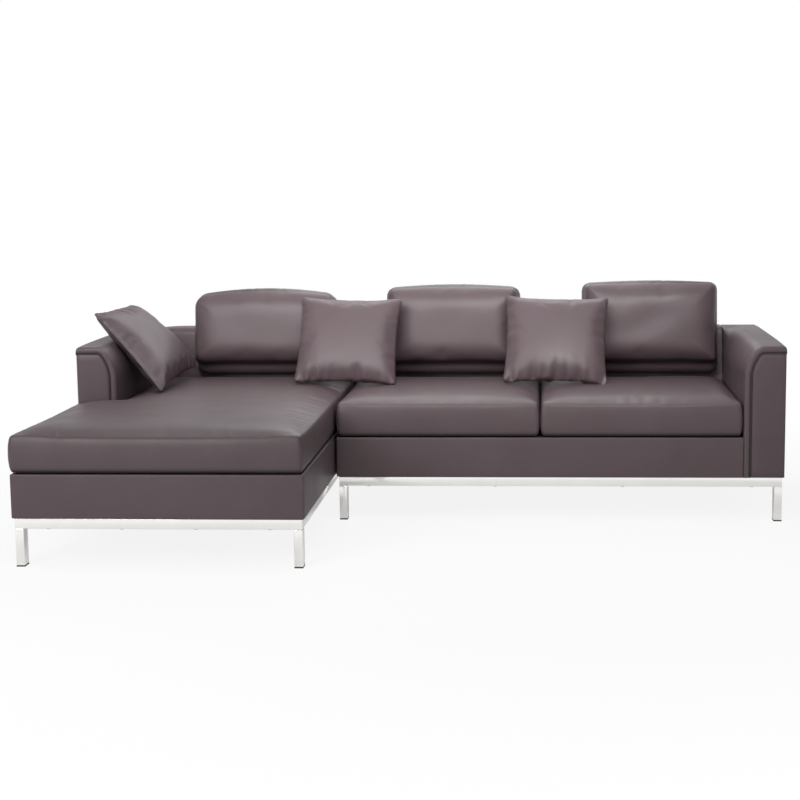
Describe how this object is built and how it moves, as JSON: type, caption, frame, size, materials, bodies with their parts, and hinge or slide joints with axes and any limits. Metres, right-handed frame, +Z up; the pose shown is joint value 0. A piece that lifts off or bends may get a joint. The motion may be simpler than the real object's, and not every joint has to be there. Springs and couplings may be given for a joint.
{
  "type": "corner sofa",
  "caption": "Low corner sofa in smooth taupe leather: a chaise module and a seat module on chromed tube frames, with loose seat, back and scatter cushions.",
  "frame": {"origin": "on the floor, at the middle of the whole sofa's footprint", "axes": "+X to the viewer's right along the back, +Y towards the back, +Z up; the seats face -Y"},
  "size_m": [2.7004, 1.7004, 0.8671],
  "materials": {
    "leather": "satin, fine grain",
    "welt": "satin",
    "chrome": "polished",
    "glide": "matt",
    "steel": "zinc plated",
    "wood": "raw",
    "webbing": "woven",
    "foam": "matt",
    "lining": "non-woven"
  },
  "bodies": {
    "root": {"chaise_front_metal_rail": "chrome", "chaise_back_metal_rail": "chrome", "chaise_left_metal_rail": "chrome", "chaise_right_metal_rail": "chrome", "chaise_legs": "chrome", "chaise_glides": "glide", "chaise_frame_screws": "steel", "chaise_end_boards": "wood", "chaise_side_boards": "wood", "chaise_slats": "wood", "chaise_back_frame": "wood", "chaise_webbing": "webbing", "chaise_deck_pad": "foam", "chaise_dust_cloth": "lining", "chaise_back_cover": "leather", "chaise_front_panel": "leather", "chaise_inner_panel": "leather", "chaise_rear_panel": "leather", "sofa_front_metal_rail": "chrome", "sofa_back_metal_rail": "chrome", "sofa_left_metal_rail": "chrome", "sofa_right_metal_rail": "chrome", "sofa_legs": "chrome", "sofa_glides": "glide", "sofa_frame_screws": "steel", "sofa_end_boards": "wood", "sofa_side_boards": "wood", "sofa_slats": "wood", "sofa_back_frame": "wood", "sofa_webbing": "webbing", "sofa_deck_pad": "foam", "sofa_dust_cloth": "lining", "sofa_back_cover": "leather", "sofa_front_panel": "leather", "sofa_inner_panel": "leather", "sofa_rear_panel": "leather", "chaise_outer_panel": "leather", "left_arm_cover": "leather", "left_arm_front_panel": "leather", "left_arm_welt": "welt", "left_arm_frame": "wood", "right_arm_cover": "leather", "right_arm_front_panel": "leather", "right_arm_welt": "welt", "right_arm_frame": "wood", "module_brackets": "steel", "module_bolts": "steel"},
    "chaise_seat": {"chaise_seat_cushion": "leather", "chaise_seat_core": "foam"},
    "middle_seat": {"middle_seat_cushion": "leather", "middle_seat_core": "foam"},
    "right_seat": {"right_seat_cushion": "leather", "right_seat_core": "foam"},
    "left_back": {"left_back_cushion": "leather"},
    "middle_back": {"middle_back_cushion": "leather"},
    "right_back": {"right_back_cushion": "leather"},
    "arm_scatter": {"arm_scatter_cushion": "leather"},
    "centre_scatter": {"centre_scatter_cushion": "leather"},
    "right_scatter": {"right_scatter_cushion": "leather"}
  },
  "joints": [
    {"name": "chaise_seat_slide", "type": "slide", "parent": "root", "child": "chaise_seat", "axis": [0, -1, 0], "range_m": [0, 0.12]},
    {"name": "middle_seat_slide", "type": "slide", "parent": "root", "child": "middle_seat", "axis": [0, -1, 0], "range_m": [0, 0.12]},
    {"name": "right_seat_slide", "type": "slide", "parent": "root", "child": "right_seat", "axis": [0, -1, 0], "range_m": [0, 0.12]},
    {"name": "left_back_lift", "type": "slide", "parent": "root", "child": "left_back", "axis": [0, 0.1392, 0.9903], "range_m": [0, 0.25]},
    {"name": "middle_back_lift", "type": "slide", "parent": "root", "child": "middle_back", "axis": [0, 0.1392, 0.9903], "range_m": [0, 0.25]},
    {"name": "right_back_lift", "type": "slide", "parent": "root", "child": "right_back", "axis": [0, 0.1392, 0.9903], "range_m": [0, 0.25]},
    {"name": "arm_scatter_lift", "type": "slide", "parent": "root", "child": "arm_scatter", "axis": [0.7241, -0.312, 0.6151], "range_m": [0, 0.3]},
    {"name": "centre_scatter_lift", "type": "slide", "parent": "root", "child": "centre_scatter", "axis": [0, -0.7071, 0.7071], "range_m": [0, 0.3]},
    {"name": "right_scatter_lift", "type": "slide", "parent": "root", "child": "right_scatter", "axis": [0, -0.7071, 0.7071], "range_m": [0, 0.3]}
  ]
}
